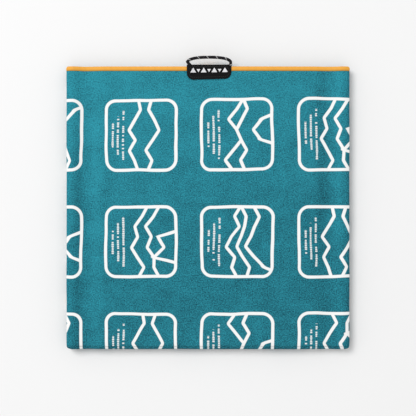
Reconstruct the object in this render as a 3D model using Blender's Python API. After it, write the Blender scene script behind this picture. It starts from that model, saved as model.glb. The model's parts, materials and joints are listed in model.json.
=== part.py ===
"""Quick dry towel, folded into a square packet, with its sewn label and cord hang loop.

The flat towel is one long sheet. Its two long sides are turned behind it until they meet in the
middle, and the strip is then folded zigzag into leaves that lie on each other. Each leaf is a solid
of its own, hinged to the next along its fold, so that the towel can be opened out. The hem that
carries the label is on the top leaf, towards +Y. The packet rests on z = 0, and the origin is under
the middle of the folded cloth and its label.

Units are metres, +Z up.
"""

import math

import bmesh
import bpy
from mathutils import Matrix, Vector

# ---- the folded towel
PACKET_WIDTH = 0.381  # across X; the flat towel is twice as wide
FOLD_PITCH = 0.381  # length of cloth from one cross fold to the next
SHORT_LEAF = 0.318  # what is left of the towel's length for the bottom leaf
LEAF_COUNT = 5
CLOTH = 0.0012  # thickness of one layer of cloth
INNER_GAP = 0.0010  # air between a leaf's printed side and the flaps folded behind it
LEAF_GAP = 0.0003  # air between two leaves
CLEARANCE = 0.0003  # air between any other two pieces that touch on the real towel
SEAM_GAP = 0.0020  # between the two long edges, where they meet behind a leaf
HEM_WIDTH = 0.0062  # overlocked edge
TURN_BORE = 0.0008  # radius left open inside a cross fold
SIDE_STEPS = 8  # facets of a half-round turn

# ---- the sewn label
LABEL_WIDTH = 0.0596
LABEL_DROP = 0.0182  # how far it reaches over the cloth, from the hem's edge
LABEL_OVERHANG = 0.0024  # how far its fold stands out beyond the hem's edge
LABEL_OFFSET = 0.0014  # its middle, to the right of the towel's
LABEL_TAPE = 0.0004  # one layer of woven tape
LABEL_FRONT = 0.0017  # front leg with the cord ends under it
LABEL_CORNER = 0.0074
CORNER_STEPS = 8
STITCH_INSET = 0.0030  # seam line from the label's edge
STITCH_WIDTH = 0.0005
STITCH_HEIGHT = 0.0003

# ---- the cord
CORD_DIAMETER = 0.0039
LOOP_WIDTH = 0.0623  # over the cord
LOOP_REACH = 0.0141  # from the hem's edge to the outside of the loop
LOOP_SQUARENESS = 2.4  # exponent of the arch: 2 is an ellipse, more is squarer
LOOP_STEPS = 20
CORD_END_WIDTH = 0.0050  # the ends are pressed flat inside the label
CORD_END_THICKNESS = 0.0010
CORD_END_LENGTH = 0.0100
CORD_END_INSET = 0.0003  # from the label's side edge

# ---- worked out from the sizes above
LEAF = 2 * CLOTH + INNER_GAP
LEAF_STEP = LEAF + LEAF_GAP
STACK_TOP = LEAF_COUNT * LEAF + (LEAF_COUNT - 1) * LEAF_GAP
HEM_LINE = (FOLD_PITCH - LABEL_OVERHANG) / 2  # y of the packet's +Y edge
FOLD_LINE = HEM_LINE - FOLD_PITCH  # y of the packet's -Y edge
TURN_RADIUS = LEAF + LEAF_GAP / 2
HINGE_REAR = HEM_LINE - TURN_RADIUS
HINGE_FRONT = FOLD_LINE + TURN_RADIUS
LABEL_BOTTOM = STACK_TOP + CLEARANCE
LABEL_TOP = LABEL_BOTTOM + LABEL_FRONT
LABEL_LEFT = LABEL_OFFSET - LABEL_WIDTH / 2
LABEL_RIGHT = LABEL_OFFSET + LABEL_WIDTH / 2
CORD_RADIUS = CORD_DIAMETER / 2
LOOP_Y = HEM_LINE + LABEL_OVERHANG + CLEARANCE + CORD_RADIUS  # the loop's hinge line
LOOP_Z = LABEL_BOTTOM + CORD_END_THICKNESS / 2

TEAL = (0.029, 0.232, 0.296)
MUSTARD = (0.760, 0.310, 0.045)
LABEL_BLACK = (0.010, 0.009, 0.010)
THREAD_BLACK = (0.020, 0.019, 0.021)
CORD_BLACK = (0.013, 0.011, 0.013)


def clear_scene():
    """Remove whatever the open file holds."""
    for item in list(bpy.data.objects):
        bpy.data.objects.remove(item, do_unlink=True)


def material(name, colour, roughness):
    """A plain Principled finish."""
    finish = bpy.data.materials.new(name)
    finish.use_nodes = True
    shader = finish.node_tree.nodes["Principled BSDF"]
    shader.inputs["Base Color"].default_value = (*colour, 1.0)
    shader.inputs["Roughness"].default_value = roughness
    shader.inputs["Metallic"].default_value = 0.0
    return finish


def show(name, mesh, finish):
    """Link a finished mesh to the scene under its node's name."""
    mesh.materials.append(finish)
    item = bpy.data.objects.new(name, mesh)
    bpy.context.scene.collection.objects.link(item)
    return item


def extruded(name, outline, along, finish):
    """Closed prism: a flat outline of points, swept along a vector."""
    work = bmesh.new()
    face = work.faces.new([work.verts.new(point) for point in outline])
    sweep = bmesh.ops.extrude_face_region(work, geom=[face])
    moved = [item for item in sweep["geom"] if isinstance(item, bmesh.types.BMVert)]
    bmesh.ops.translate(work, verts=moved, vec=along)
    bmesh.ops.recalc_face_normals(work, faces=work.faces)
    mesh = bpy.data.meshes.new(name)
    work.to_mesh(mesh)
    work.free()
    mesh.shade_smooth()
    mesh.set_sharp_from_angle(angle=math.radians(40))
    return show(name, mesh, finish)


def box(name, low, high, finish):
    """Closed box between two corners."""
    corners = [(low[0], low[1]), (high[0], low[1]), (high[0], high[1]), (low[0], high[1])]
    outline = [Vector((x, y, low[2])) for x, y in corners]
    return extruded(name, outline, Vector((0, 0, high[2] - low[2])), finish)


def arc(centre, radius, start, end, steps):
    """Points of an arc in a plane, from one angle to another, both ends included."""
    points = []
    for step in range(steps + 1):
        angle = math.radians(start + (end - start) * step / steps)
        points.append((centre[0] + radius * math.cos(angle), centre[1] + radius * math.sin(angle)))
    return points


def folded_section(seam_half):
    """Outline across a leaf: face on top, two flaps below that stop seam_half from the middle."""
    middle = LEAF / 2
    bend = PACKET_WIDTH / 2 - middle
    outer = arc((-bend, middle), middle, 270, 90, SIDE_STEPS)
    outer += arc((bend, middle), middle, 90, -90, SIDE_STEPS)
    inner = arc((bend, middle), INNER_GAP / 2, -90, 90, SIDE_STEPS)
    inner += arc((-bend, middle), INNER_GAP / 2, 90, 270, SIDE_STEPS)
    return [(-seam_half, 0)] + outer + [(seam_half, 0), (seam_half, CLOTH)] + inner + [(-seam_half, CLOTH)]


def face_is_up(leaf):
    """The zigzag turns every second leaf over."""
    return leaf % 2 == 1


def leaf_height(leaf, height):
    """World z of a height measured from a leaf's flap side."""
    bottom = (leaf - 1) * LEAF_STEP
    if face_is_up(leaf):
        return bottom + height
    return bottom + LEAF - height


def leaf_span(leaf):
    """Where a leaf's own cloth starts and ends along Y, without its fold turns."""
    start = HINGE_FRONT + CLEARANCE
    end = HINGE_REAR - CLEARANCE
    if leaf == 1:
        start = HEM_LINE - SHORT_LEAF
    if leaf == LEAF_COUNT:
        end = HEM_LINE
    return start, end


def cloth_span(leaf):
    """The same, less the hem on a leaf that ends in one."""
    start, end = leaf_span(leaf)
    if leaf == 1:
        start += HEM_WIDTH + CLEARANCE
    if leaf == LEAF_COUNT:
        end -= HEM_WIDTH + CLEARANCE
    return start, end


def strip(name, leaf, section, span, finish):
    """A section drawn in a leaf's own heights, swept along Y."""
    outline = [Vector((x, span[0], leaf_height(leaf, height))) for x, height in section]
    return extruded(name, outline, Vector((0, span[1] - span[0], 0)), finish)


def make_leaf(leaf, cloth):
    """The printed face of one leaf and the two flaps behind it."""
    seam_half = SEAM_GAP / 2 + HEM_WIDTH + CLEARANCE
    strip(f"leaf_{leaf}", leaf, folded_section(seam_half), cloth_span(leaf), cloth)


def make_side_hems(leaf, thread):
    """The two long hems, which meet behind the leaf."""
    for side, sign in (("left", -1), ("right", 1)):
        near = sign * SEAM_GAP / 2
        far = sign * (SEAM_GAP / 2 + HEM_WIDTH)
        section = [(near, 0), (far, 0), (far, CLOTH), (near, CLOTH)]
        strip(f"side_hem_{side}_{leaf}", leaf, section, cloth_span(leaf), thread)


def make_end_hems(thread):
    """The hem with the label on the top leaf, and the far hem on the bottom leaf."""
    section = folded_section(SEAM_GAP / 2)
    strip("end_hem_label", LEAF_COUNT, section, (HEM_LINE - HEM_WIDTH, HEM_LINE), thread)
    far = HEM_LINE - SHORT_LEAF
    strip("end_hem_far", 1, section, (far, far + HEM_WIDTH), thread)


def make_fold_turn(fold, cloth):
    """The half-round bend of cloth that joins leaf number fold to the next."""
    centre_z = fold * LEAF_STEP - LEAF_GAP / 2
    if fold % 2 == 1:
        centre, start, end = (HINGE_REAR, centre_z), -90, 90
    else:
        centre, start, end = (HINGE_FRONT, centre_z), 90, 270
    section = arc(centre, TURN_RADIUS, start, end, SIDE_STEPS)
    section += arc(centre, TURN_BORE, end, start, SIDE_STEPS)
    outline = [Vector((-PACKET_WIDTH / 2, y, z)) for y, z in section]
    extruded(f"fold_turn_{fold}", outline, Vector((PACKET_WIDTH, 0, 0)), cloth)


def cutter(name, item):
    """Turn an object into a hidden boolean cutter."""
    item.hide_render = True
    item.display_type = "WIRE"
    item.name = name
    return item


def boolean(item, operation, tool):
    """Add an exact boolean to an object."""
    step = item.modifiers.new(tool.name, "BOOLEAN")
    step.operation = operation
    step.solver = "EXACT"
    step.object = tool


def rounded_outline(left, right, low, high, radius, z):
    """Rectangle in a level plane, its two corners at the low side rounded."""
    points = arc((left + radius, low + radius), radius, 180, 270, CORNER_STEPS)
    points += arc((right - radius, low + radius), radius, 270, 360, CORNER_STEPS)
    points += [(right, high), (left, high)]
    return [Vector((x, y, z)) for x, y in points]


def make_label(tape):
    """Woven tape folded over the hem: a front leg on the cloth and a back leg inside the top leaf."""
    back_top = STACK_TOP - CLOTH - CLEARANCE
    back_bottom = back_top - LABEL_TAPE
    low = HEM_LINE - LABEL_DROP
    inner = HEM_LINE + CLEARANCE
    outer = HEM_LINE + LABEL_OVERHANG
    section = [
        (low, LABEL_BOTTOM),
        (inner, LABEL_BOTTOM),
        (inner, back_top),
        (low, back_top),
        (low, back_bottom),
        (outer, back_bottom),
        (outer, LABEL_TOP),
        (low, LABEL_TOP),
    ]
    margin = 2 * CLEARANCE  # how far rough shapes reach past a cut, so that no faces coincide
    outline = [Vector((LABEL_LEFT - margin, y, z)) for y, z in section]
    label = extruded("label", outline, Vector((LABEL_WIDTH + 2 * margin, 0, 0)), tape)

    deep = back_bottom - margin
    shape = rounded_outline(LABEL_LEFT, LABEL_RIGHT, low, outer + margin, LABEL_CORNER, deep)
    trim = extruded("label_trim", shape, Vector((0, 0, LABEL_TOP + margin - deep)), tape)
    boolean(label, "INTERSECT", cutter("label_trim", trim))

    for side in ("left", "right"):
        near, far = cord_end_span(side)
        # the channel opens through the label's side edge as well as through its fold
        beyond = CORD_END_INSET + margin
        low_x = min(near, far) - (beyond if side == "left" else CLEARANCE)
        high_x = max(near, far) + (beyond if side == "right" else CLEARANCE)
        start = (low_x, outer - CORD_END_LENGTH - CLEARANCE, LABEL_BOTTOM - margin)
        stop = (high_x, outer + margin, LABEL_BOTTOM + CORD_END_THICKNESS + CLEARANCE)
        channel = box(f"channel_{side}", start, stop, tape)
        boolean(label, "DIFFERENCE", cutter(f"channel_{side}", channel))


def cord_end_span(side):
    """Inner and outer x of one flattened cord end, tucked under the label's corner."""
    if side == "left":
        far = LABEL_LEFT + CORD_END_INSET
        return far + CORD_END_WIDTH, far
    far = LABEL_RIGHT - CORD_END_INSET
    return far - CORD_END_WIDTH, far


def make_stitching(thread):
    """Seam line round the label's front, a closed ring that lies on it."""
    low = HEM_LINE - LABEL_DROP + STITCH_INSET
    high = HEM_LINE - CLEARANCE
    base = LABEL_TOP + CLEARANCE
    rise = Vector((0, 0, STITCH_HEIGHT))
    left = LABEL_LEFT + STITCH_INSET
    right = LABEL_RIGHT - STITCH_INSET
    radius = LABEL_CORNER - STITCH_INSET
    outer = rounded_outline(left, right, low, high, radius, base)
    ring = extruded("label_stitching", outer, rise, thread)
    hole_outline = rounded_outline(
        left + STITCH_WIDTH,
        right - STITCH_WIDTH,
        low + STITCH_WIDTH,
        high - STITCH_WIDTH,
        radius - STITCH_WIDTH,
        base - STITCH_HEIGHT,
    )
    hole = extruded("stitch_hole", hole_outline, 3 * rise, thread)
    boolean(ring, "DIFFERENCE", cutter("stitch_hole", hole))


def make_cord_ends(cord):
    """The two ends of the cord, pressed flat and sewn in under the label."""
    outer = HEM_LINE + LABEL_OVERHANG
    for side in ("left", "right"):
        near, far = cord_end_span(side)
        low = (min(near, far), outer - CORD_END_LENGTH, LABEL_BOTTOM)
        high = (max(near, far), outer, LABEL_BOTTOM + CORD_END_THICKNESS)
        box(f"cord_end_{side}", low, high, cord)


def loop_route():
    """The cord's middle line about its hinge, from left to right, with the radius at each point."""
    half_width = LOOP_WIDTH / 2 - CORD_RADIUS
    rise = HEM_LINE + LOOP_REACH - CORD_RADIUS - LOOP_Y
    power = 2 / LOOP_SQUARENESS
    route = []
    for depth in (0.97, 0.87, 0.6):  # rounded end below the hinge, in cord radii
        route.append((-half_width, -depth * CORD_RADIUS, math.sqrt(1 - depth * depth)))
    for step in range(LOOP_STEPS + 1):
        angle = math.pi * (1 - step / LOOP_STEPS)
        across, up = math.cos(angle), max(math.sin(angle), 0.0)
        x = math.copysign(abs(across) ** power, across) * half_width
        route.append((x, up**power * rise, 1.0))
    for depth in (0.6, 0.87, 0.97):
        route.append((half_width, -depth * CORD_RADIUS, math.sqrt(1 - depth * depth)))
    return route


def make_hang_loop(cord):
    """The cord loop, whose origin is on the line about which it swings."""
    route = loop_route()
    curve = bpy.data.curves.new("hang_loop", "CURVE")
    curve.dimensions = "3D"
    curve.bevel_depth = CORD_RADIUS
    curve.bevel_resolution = 2
    curve.use_fill_caps = True
    spline = curve.splines.new("POLY")
    spline.points.add(len(route) - 1)
    for point, (x, y, radius) in zip(spline.points, route):
        point.co = (x, y, 0, 1)
        point.radius = radius
    curve.materials.append(cord)
    loop = bpy.data.objects.new("hang_loop", curve)
    loop.matrix_world = Matrix.Translation((LABEL_OFFSET, LOOP_Y, LOOP_Z))
    bpy.context.scene.collection.objects.link(loop)


def main():
    clear_scene()
    cloth = material("suede_cloth", TEAL, 0.95)
    hem_thread = material("hem_thread", MUSTARD, 0.8)
    tape = material("woven_tape", LABEL_BLACK, 0.75)
    seam_thread = material("seam_thread", THREAD_BLACK, 0.6)
    cord = material("braided_cord", CORD_BLACK, 0.65)

    for leaf in range(1, LEAF_COUNT + 1):
        make_leaf(leaf, cloth)
        make_side_hems(leaf, hem_thread)
    for fold in range(1, LEAF_COUNT):
        make_fold_turn(fold, cloth)
    make_end_hems(hem_thread)
    make_label(tape)
    make_stitching(seam_thread)
    make_cord_ends(cord)
    make_hang_loop(cord)


main()
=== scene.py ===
import json
import math

import bmesh
import bpy
from mathutils import Matrix, Vector, noise

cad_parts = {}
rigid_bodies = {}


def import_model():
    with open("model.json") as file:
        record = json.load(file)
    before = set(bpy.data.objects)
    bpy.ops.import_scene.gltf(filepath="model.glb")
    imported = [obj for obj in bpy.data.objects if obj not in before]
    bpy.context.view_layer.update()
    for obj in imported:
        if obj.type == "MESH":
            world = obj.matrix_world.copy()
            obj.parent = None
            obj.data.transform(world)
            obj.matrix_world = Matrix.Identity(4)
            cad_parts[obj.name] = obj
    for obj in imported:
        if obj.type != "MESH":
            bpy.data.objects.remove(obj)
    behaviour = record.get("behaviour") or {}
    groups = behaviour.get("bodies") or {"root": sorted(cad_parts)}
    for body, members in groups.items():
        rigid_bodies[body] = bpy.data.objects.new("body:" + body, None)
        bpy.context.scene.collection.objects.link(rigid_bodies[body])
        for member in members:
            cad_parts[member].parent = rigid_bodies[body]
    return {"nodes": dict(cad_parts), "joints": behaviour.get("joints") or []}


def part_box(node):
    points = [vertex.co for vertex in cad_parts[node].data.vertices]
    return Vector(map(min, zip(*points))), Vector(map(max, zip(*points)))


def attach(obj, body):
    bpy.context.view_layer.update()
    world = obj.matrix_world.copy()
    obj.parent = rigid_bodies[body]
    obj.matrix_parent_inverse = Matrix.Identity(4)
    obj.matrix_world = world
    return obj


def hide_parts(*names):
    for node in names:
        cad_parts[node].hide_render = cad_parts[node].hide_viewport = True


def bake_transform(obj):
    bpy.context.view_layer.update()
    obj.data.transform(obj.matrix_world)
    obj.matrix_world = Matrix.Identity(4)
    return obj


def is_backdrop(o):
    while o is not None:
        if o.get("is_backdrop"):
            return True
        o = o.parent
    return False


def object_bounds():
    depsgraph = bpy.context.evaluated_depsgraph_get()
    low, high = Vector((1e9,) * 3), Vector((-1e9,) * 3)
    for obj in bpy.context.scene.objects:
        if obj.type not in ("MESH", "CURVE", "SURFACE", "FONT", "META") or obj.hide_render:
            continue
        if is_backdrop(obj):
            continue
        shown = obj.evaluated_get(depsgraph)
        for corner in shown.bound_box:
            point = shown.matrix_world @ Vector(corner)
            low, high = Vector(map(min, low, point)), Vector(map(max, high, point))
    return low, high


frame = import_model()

bl_info = {
    "name": "Folded quick dry towel",
    "version": (1, 0, 0),
    "blender": (4, 5, 0),
    "location": "View3D > Sidebar > Towel",
    "description": "A folded suede towel with its hems, woven label and cord loop",
    "category": "Object",
}

MM = 0.001
CAD_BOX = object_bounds()
JOINTS = {joint["name"]: joint for joint in frame["joints"]}

# ---- read from the frame
LEAF_COUNT = sum(1 for node in frame["nodes"] if node.startswith("leaf_"))
LEAF_LOW, LEAF_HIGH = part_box(f"leaf_{LEAF_COUNT}")
HALF_WIDTH = LEAF_HIGH[0]
STACK_TOP = LEAF_HIGH[2]
LEAF = LEAF_HIGH[2] - LEAF_LOW[2]
LEAF_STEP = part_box("leaf_2")[0][2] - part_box("leaf_1")[0][2]
LEAF_GAP = LEAF_STEP - LEAF
HEM_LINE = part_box("end_hem_label")[1][1]
HEM_WIDTH = HEM_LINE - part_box("end_hem_label")[0][1]
FAR_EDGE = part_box("end_hem_far")[0][1]
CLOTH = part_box("side_hem_left_1")[1][2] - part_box("side_hem_left_1")[0][2]
SEAM_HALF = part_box("side_hem_right_1")[0][0]
REAR_FOLD = JOINTS["fold_1"]["pos_m"][1]
FRONT_FOLD = JOINTS["fold_2"]["pos_m"][1]
TURN_RADIUS = LEAF + LEAF_GAP / 2
FOLD_LINE = FRONT_FOLD - TURN_RADIUS
FOLD_PITCH = HEM_LINE - FOLD_LINE
LABEL_LOW, LABEL_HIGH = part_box("label")
LABEL_X = (LABEL_LOW[0] + LABEL_HIGH[0]) / 2
LABEL_HALF = (LABEL_HIGH[0] - LABEL_LOW[0]) / 2
LOOP_LOW, LOOP_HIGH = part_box("hang_loop")
LOOP_PIVOT = Vector(JOINTS["hang_loop_swing"]["pos_m"])
CORD_DIAMETER = LOOP_HIGH[2] - LOOP_LOW[2]

# ---- one layer of cloth across a folded leaf, measured from the middle of its printed side
TURN = (LEAF - CLOTH) / 2  # radius of the side turns, at the middle of the cloth
FACE_HALF = HALF_WIDTH - LEAF / 2
TURN_LENGTH = math.pi * TURN
FLAT_HALF = 2 * FACE_HALF + TURN_LENGTH - SEAM_HALF  # from the middle to a long edge
SUEDE = CLOTH * 0.96  # the cloth's visible thickness, a little less so that layers keep apart
TURN_ROWS = 14  # strips of faces round a bend
FLOOR_GAP = 0.03 * MM  # how near the hems under the packet come to the floor

# ---- how the print is pulled out of true on the leaf with the label
PRINT_STRETCH = 1.45 * MM  # towards the middle columns of frames
PRINT_SKEW = 1.5 * MM  # half of how far the right side's print lies lower than the left side's
SKEW_WIDTH = 60 * MM
SKEW_REACH = 190 * MM  # down from the label's hem, where the skew ends


def colour(name, description, default):
    """A colour that a user can set, linear RGB."""
    return bpy.props.FloatVectorProperty(
        name=name, description=description, default=default, subtype="COLOR", size=3, min=0.0, max=1.0
    )


def length(name, description, default):
    """A length that a user can set, in metres."""
    return bpy.props.FloatProperty(
        name=name, description=description, default=default, unit="LENGTH", precision=5
    )


def number(name, description, default):
    """A plain number that a user can set."""
    return bpy.props.FloatProperty(name=name, description=description, default=default)


class TowelCloth(bpy.types.PropertyGroup):
    """Colours and softness of the suede."""

    # the cloth's colour runs between these two, by random mottle and by painted light and shade
    light: colour("Cloth", "Colour of the brushed nap where it catches the light", (0.026, 0.285, 0.365))
    dark: colour("Cloth shade", "Colour of the nap where it lies the other way", (0.002, 0.028, 0.046))
    reverse: colour("Reverse", "Colour of the unprinted side", (0.022, 0.190, 0.250))
    roll: length("Side roll", "Height of the soft roll along each folded side", 1.6 * MM)
    valley: length("Side valley", "Depth of the valley beside that roll", 3.2 * MM)
    droop: length("Edge droop", "How far the folded edges drop below the roll", 1.7 * MM)
    wave: length("Waves", "Height of the slow waves over the packet", 0.8 * MM)
    wander: length("Edge wander", "How far the folded edges wander", 0.7 * MM)
    corner: length("Corner", "Radius of the packet's corners seen from above", 5.0 * MM)


class TowelPrint(bpy.types.PropertyGroup):
    """Sizes of the printed frames and the marks in them."""

    ink: colour("Ink", "Colour of the print", (0.80, 0.80, 0.79))
    side: length("Frame", "Side of a printed frame, over its line", 97.6 * MM)
    line: length("Line", "Width of every printed line", 4.1 * MM)
    radius: length("Corner", "Outer corner radius of a frame", 15.5 * MM)
    across: length("Pitch across", "From one frame to the next across the towel", 128.1 * MM)
    down: length("Pitch down", "From one frame to the next along the towel", 143.4 * MM)
    first_across: length("First across", "Left side of a frame, from the towel's left edge", 245.1 * MM)
    first_down: length("First down", "Top of the first frames, from the hem's edge", 43.8 * MM)


class TowelTrim(bpy.types.PropertyGroup):
    """Colours and sizes of the hems, the label and the cord."""

    hem: colour("Hem thread", "Colour of the overlocked hem", (0.88, 0.41, 0.054))
    tape: colour("Label tape", "Colour of the woven label", (0.0022, 0.0020, 0.0023))
    seam: colour("Label seam", "Colour of the seam thread", (0.22, 0.21, 0.225))
    motif: colour("Label motif", "Colour of the marks woven into the label", (0.80, 0.80, 0.82))
    cord: colour("Cord", "Colour of the braided cord", (0.0050, 0.0042, 0.0050))
    fleck: colour("Cord fleck", "Colour of the tracer yarn", (0.50, 0.50, 0.50))
    stitch_pitch: length("Overlock pitch", "From one overlock stitch to the next", 1.6 * MM)
    seam_pitch: length("Seam pitch", "From one label stitch to the next", 2.6 * MM)
    fleck_pitch: length("Fleck pitch", "From one fleck on the cord to the next", 12.4 * MM)


class TowelStage(bpy.types.PropertyGroup):
    """Floor, light and camera."""

    floor: colour("Floor", "Colour of the floor", (0.775, 0.775, 0.775))
    key: number("Key light", "Power of the soft light at the upper left, in watts", 166.0)
    fill: number("Fill light", "Strength of the light from all round", 0.74)
    lens: number("Lens", "Focal length of the camera, in millimetres", 85.0)
    view: length("View", "Width of the view at the packet's top", 559.6 * MM)


# ---------------------------------------------------------------- shader maths


class Value:
    """A number that changes over a surface: a shader socket with arithmetic."""

    def __init__(self, shade, socket):
        self.shade = shade
        self.socket = socket

    def __add__(self, other):
        return self.shade.maths("ADD", self, other)

    def __radd__(self, other):
        return self.shade.maths("ADD", other, self)

    def __sub__(self, other):
        return self.shade.maths("SUBTRACT", self, other)

    def __rsub__(self, other):
        return self.shade.maths("SUBTRACT", other, self)

    def __mul__(self, other):
        return self.shade.maths("MULTIPLY", self, other)

    def __rmul__(self, other):
        return self.shade.maths("MULTIPLY", other, self)

    def __truediv__(self, other):
        return self.shade.maths("DIVIDE", self, other)

    def __rtruediv__(self, other):
        return self.shade.maths("DIVIDE", other, self)

    def __abs__(self):
        return self.shade.maths("ABSOLUTE", self)

    def __lt__(self, other):
        return self.shade.maths("LESS_THAN", self, other)

    def __gt__(self, other):
        return self.shade.maths("GREATER_THAN", self, other)


class Shade:
    """A material's node tree, built with one method for nodes and expressions for numbers."""

    def __init__(self, name):
        self.material = bpy.data.materials.new(name)
        self.material.use_nodes = True
        self.tree = self.material.node_tree
        self.tree.nodes.clear()

    def node(self, kind, settings=None, sockets=None):
        """Add a node: its type, then its settings, then the values or links of its sockets."""
        item = self.tree.nodes.new(kind)
        for key, setting in (settings or {}).items():
            if key == "stops":
                self.set_stops(item.color_ramp, setting)
            else:
                setattr(item, key, setting)
        for key, value in (sockets or {}).items():
            if isinstance(value, Value):
                self.tree.links.new(value.socket, item.inputs[key])
            else:
                item.inputs[key].default_value = value
        return item

    @staticmethod
    def set_stops(ramp, stops):
        """Give a colour ramp its stops."""
        while len(ramp.elements) < len(stops):
            ramp.elements.new(1.0)
        for element, (place, value) in zip(ramp.elements, stops):
            element.position = place
            element.color = (*value, 1.0)

    def out(self, kind, settings=None, sockets=None, output=0):
        """Add a node and return one of its outputs as a Value."""
        return Value(self, self.node(kind, settings, sockets).outputs[output])

    def maths(self, operation, *values):
        """One Math node; its values are numbers or Values."""
        return self.out("ShaderNodeMath", {"operation": operation}, dict(enumerate(values)))

    def floor(self, value):
        return self.maths("FLOOR", value)

    def fract(self, value):
        return self.maths("FRACT", value)

    def root(self, value):
        return self.maths("SQRT", value)

    def sine(self, value):
        return self.maths("SINE", value)

    def least(self, one, other):
        return self.maths("MINIMUM", one, other)

    def most(self, first, *others):
        """The greatest of two or more values."""
        for other in others:
            first = self.maths("MAXIMUM", first, other)
        return first

    def ramp(self, value, start, end, low=0.0, high=1.0):
        """Smooth change from low to high as value goes from start to end."""
        sockets = {"Value": value, "From Min": start, "From Max": end, "To Min": low, "To Max": high}
        return self.out("ShaderNodeMapRange", {"interpolation_type": "SMOOTHSTEP"}, sockets)

    def band(self, value, centre, half):
        """Soft stripe: 1 at its centre, 0 beyond half its width."""
        return self.ramp(abs(value - centre), 0.0, half, 1.0, 0.0)

    def within(self, distance, half, soft):
        """1 where a distance is under half, fading to 0 over a soft edge."""
        return self.ramp(distance, half - soft, half + soft, 1.0, 0.0)

    def axes(self, vector, count=3):
        """The first numbers of a vector, from metres to millimetres."""
        parts = self.node("ShaderNodeSeparateXYZ", {}, {0: vector})
        return [Value(self, output) * (1 / MM) for output in parts.outputs[:count]]

    def flat(self):
        """The piece's own UV map, in millimetres of flat cloth or thread."""
        return self.axes(self.out("ShaderNodeUVMap", {"uv_map": "UVMap"}), 2)

    def place(self):
        """Object coordinates in millimetres."""
        return self.axes(self.out("ShaderNodeTexCoord", output="Object"))

    def point(self, x, y, z=0.0):
        """A vector from three numbers."""
        return self.out("ShaderNodeCombineXYZ", {}, {0: x, 1: y, 2: z})

    def grain(self, vector, scale, detail=2.0, roughness=0.5, distortion=0.0):
        """Noise from 0 to 1."""
        sockets = {
            "Vector": vector,
            "Scale": scale,
            "Detail": detail,
            "Roughness": roughness,
            "Distortion": distortion,
        }
        return self.out("ShaderNodeTexNoise", {"noise_dimensions": "3D"}, sockets)

    def chance(self, vector):
        """Three random numbers for each different vector."""
        settings = {"noise_dimensions": "3D"}
        return self.split(self.out("ShaderNodeTexWhiteNoise", settings, {"Vector": vector}, "Color"))

    def split(self, tint):
        """The red, green and blue of a colour."""
        parts = self.node("ShaderNodeSeparateColor", {}, {0: tint})
        return [Value(self, output) for output in parts.outputs[:3]]

    def mix(self, share, one, other):
        """Blend two colours."""
        one = one if isinstance(one, Value) else (*one, 1.0)
        other = other if isinstance(other, Value) else (*other, 1.0)
        settings = {"data_type": "RGBA", "clamp_factor": True}
        return self.out("ShaderNodeMix", settings, {0: share, 6: one, 7: other}, 2)

    def bump(self, height, distance, strength=1.0):
        """A normal that shows a height, whose 0 to 1 stands for a distance in metres."""
        sockets = {"Height": height, "Distance": distance, "Strength": strength}
        return self.out("ShaderNodeBump", {}, sockets)

    def finish(self, tint, roughness, normal=None, constants=None):
        """Close the material with a Principled shader and return it.

        The constants are sockets whose value is the same all over the surface."""
        sockets = {"Base Color": tint, "Roughness": roughness, **(constants or {})}
        if normal is not None:
            sockets["Normal"] = normal
        shader = self.out("ShaderNodeBsdfPrincipled", {}, sockets)
        self.node("ShaderNodeOutputMaterial", {}, {0: shader})
        return self.material


# ---------------------------------------------------------------- materials

# Ridge lines of the printed frames: four drawings of three lines each. A line is given by how far
# across its frame it lies at equal steps down the frame, in frame sides; 1.2 keeps it out of sight.
OUT = 1.2
RIDGES = (
    (
        (0.50, 0.45, 0.38, 0.46, 0.37, 0.45, 0.53, 0.50),
        (0.63, 0.69, 0.61, 0.70, 0.78, 0.71, 0.64, 0.68),
        (OUT,) * 8,
    ),
    (
        (0.60, 0.52, 0.41, 0.51, 0.57, 0.46, 0.36, 0.46),
        (0.60, 0.66, 0.59, 0.51, 0.57, 0.64, 0.56, 0.62),
        (OUT, OUT, 0.86, 0.74, 0.83, OUT, OUT, OUT),
    ),
    (
        (0.45, 0.52, 0.43, 0.35, 0.44, 0.40, 0.50, 0.57),
        (OUT, OUT, 0.66, 0.57, 0.63, 0.55, 0.66, 0.74),
        (0.74, 0.66, 0.66, 0.80, 0.72, OUT, OUT, OUT),
    ),
    (
        (0.55, 0.46, 0.53, 0.42, 0.35, 0.47, 0.42, 0.49),
        (0.55, 0.62, 0.60, 0.56, 0.50, 0.58, 0.66, 0.62),
        (0.72, 0.79, 0.73, 0.69, 0.62, 0.73, 0.86, OUT),
    ),
)
RIDGE_SCALE = 1.25  # a ramp colour of 1 stands for this many frame sides

# Small dashes in three columns beside the ridges: distance from the frame's left side in
# millimetres, and the column's length in frame sides.
DASH_COLUMNS = ((11.3, 0.33), (18.2, 0.52), (25.3, 0.67))

# The rest of the print's sizes, in millimetres.
INK_EDGE = 0.4  # half the width over which the ink ends
OUT_OF_LINE = 4.0  # how far a frame's sides wander, over their whole range
DRIFT = 7.0  # how far ridges are shifted from one frame to another, over their whole range
DASH_PITCH = 2.4

# The cord's braid: strands each way round it, and how fast they turn, in radians per millimetre.
BRAID_STRANDS = 8
BRAID_PACE = 2.4


def ridge_stops():
    """Stops of the ramp that holds all ridge drawings, one after another."""
    stops = []
    last = len(RIDGES[0][0]) - 1
    for drawing, lines in enumerate(RIDGES):
        for step in range(last + 1):
            place = (drawing + 0.01 + 0.98 * step / last) / len(RIDGES)
            stops.append((place, [line[step] / RIDGE_SCALE for line in lines]))
    return stops


def frame_edge(shade, a, b, side, radius):
    """Distance outside a rounded square, under 0 inside it."""
    out_a = abs(a - side / 2) - (side / 2 - radius)
    out_b = abs(b - side / 2) - (side / 2 - radius)
    far_a, far_b = shade.most(out_a, 0.0), shade.most(out_b, 0.0)
    round_the_corner = shade.root(far_a * far_a + far_b * far_b)
    return round_the_corner + shade.least(shade.most(out_a, out_b), 0.0) - radius


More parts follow.
